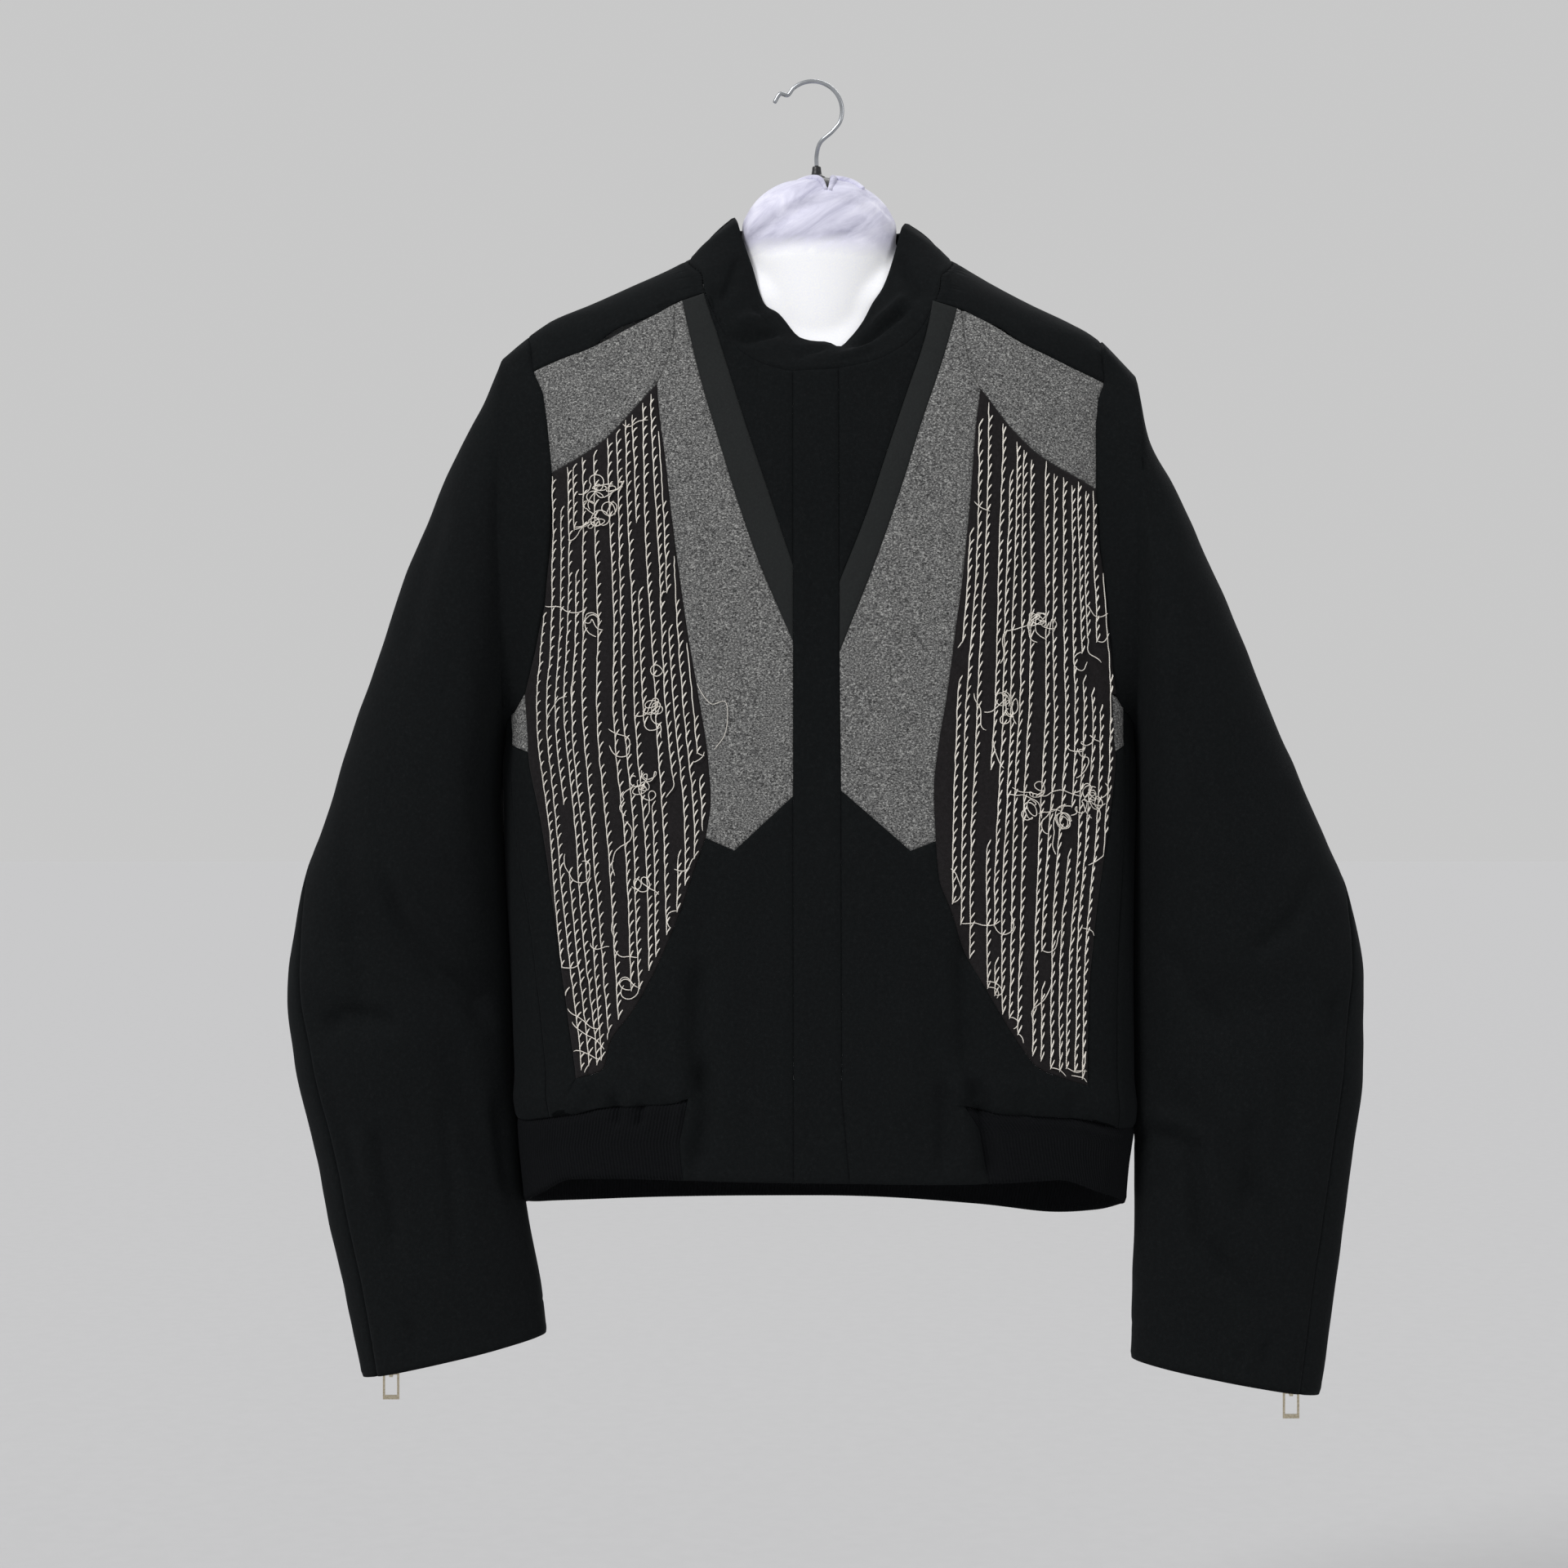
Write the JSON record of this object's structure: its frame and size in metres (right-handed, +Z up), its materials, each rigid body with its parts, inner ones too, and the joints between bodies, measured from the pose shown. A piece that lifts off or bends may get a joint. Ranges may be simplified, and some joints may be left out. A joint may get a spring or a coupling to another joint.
{
  "type": "embroidered jacket on hanging torso form",
  "caption": "Stand-collar wool jacket with embroidered front panels, covered placket, rib waist and cuff zips, worn open-armed on a smooth hanging torso form.",
  "frame": {"origin": "the hook's saddle: the underside of the wire at its highest point, where a rail carries it", "axes": "+Z up, +X to the viewer's right of the front, the front faces -Y"},
  "size_m": [0.7662, 0.1737, 0.953],
  "materials": {
    "black_wool": "felted, matt",
    "rib_knit": "rib knit, matt",
    "grey_melange_wool": "melange, matt",
    "charcoal_strip": "smooth, matt",
    "embroidered_wool": "wool ground with off-white thread rows",
    "zip_tape": "woven tape",
    "zip_metal": "pale metal",
    "form_cover": "smooth white cloth cover",
    "fitting_plastic": "black plastic",
    "hook_wire": "bright wire"
  },
  "bodies": {
    "jacket": {"v_inset_L": "black_wool", "v_inset_R": "black_wool", "lower_front_L": "black_wool", "lower_front_R": "black_wool", "side_L": "black_wool", "side_R": "black_wool", "placket": "black_wool", "back": "black_wool", "collar": "black_wool", "top_sleeve_L": "black_wool", "top_sleeve_R": "black_wool", "under_sleeve_L": "black_wool", "under_sleeve_R": "black_wool", "rib_band": "rib_knit", "lapel_L": "grey_melange_wool", "lapel_R": "grey_melange_wool", "shoulder_patch_L": "grey_melange_wool", "shoulder_patch_R": "grey_melange_wool", "side_grey_L": "grey_melange_wool", "side_grey_R": "grey_melange_wool", "strip_L": "charcoal_strip", "strip_R": "charcoal_strip", "panel_L": "embroidered_wool", "panel_R": "embroidered_wool", "zip_tape_L": "zip_tape", "zip_tape_R": "zip_tape", "zip_slider_L": "zip_metal", "zip_slider_R": "zip_metal", "torso_form": "form_cover", "hook_fitting": "fitting_plastic", "hook": "hook_wire"},
    "pull_left": {"zip_pull_L": "zip_metal"},
    "pull_right": {"zip_pull_R": "zip_metal"}
  },
  "joints": [
    {"name": "left_pull_swing", "type": "hinge", "parent": "jacket", "child": "pull_left", "pos_m": [-0.30172, -0.01863, -0.91862], "axis": [1, 0, 0], "range_deg": [-50, 90]},
    {"name": "right_pull_swing", "type": "hinge", "parent": "jacket", "child": "pull_right", "pos_m": [0.33579, -0.01863, -0.93212], "axis": [1, 0, 0], "range_deg": [-50, 90]}
  ]
}
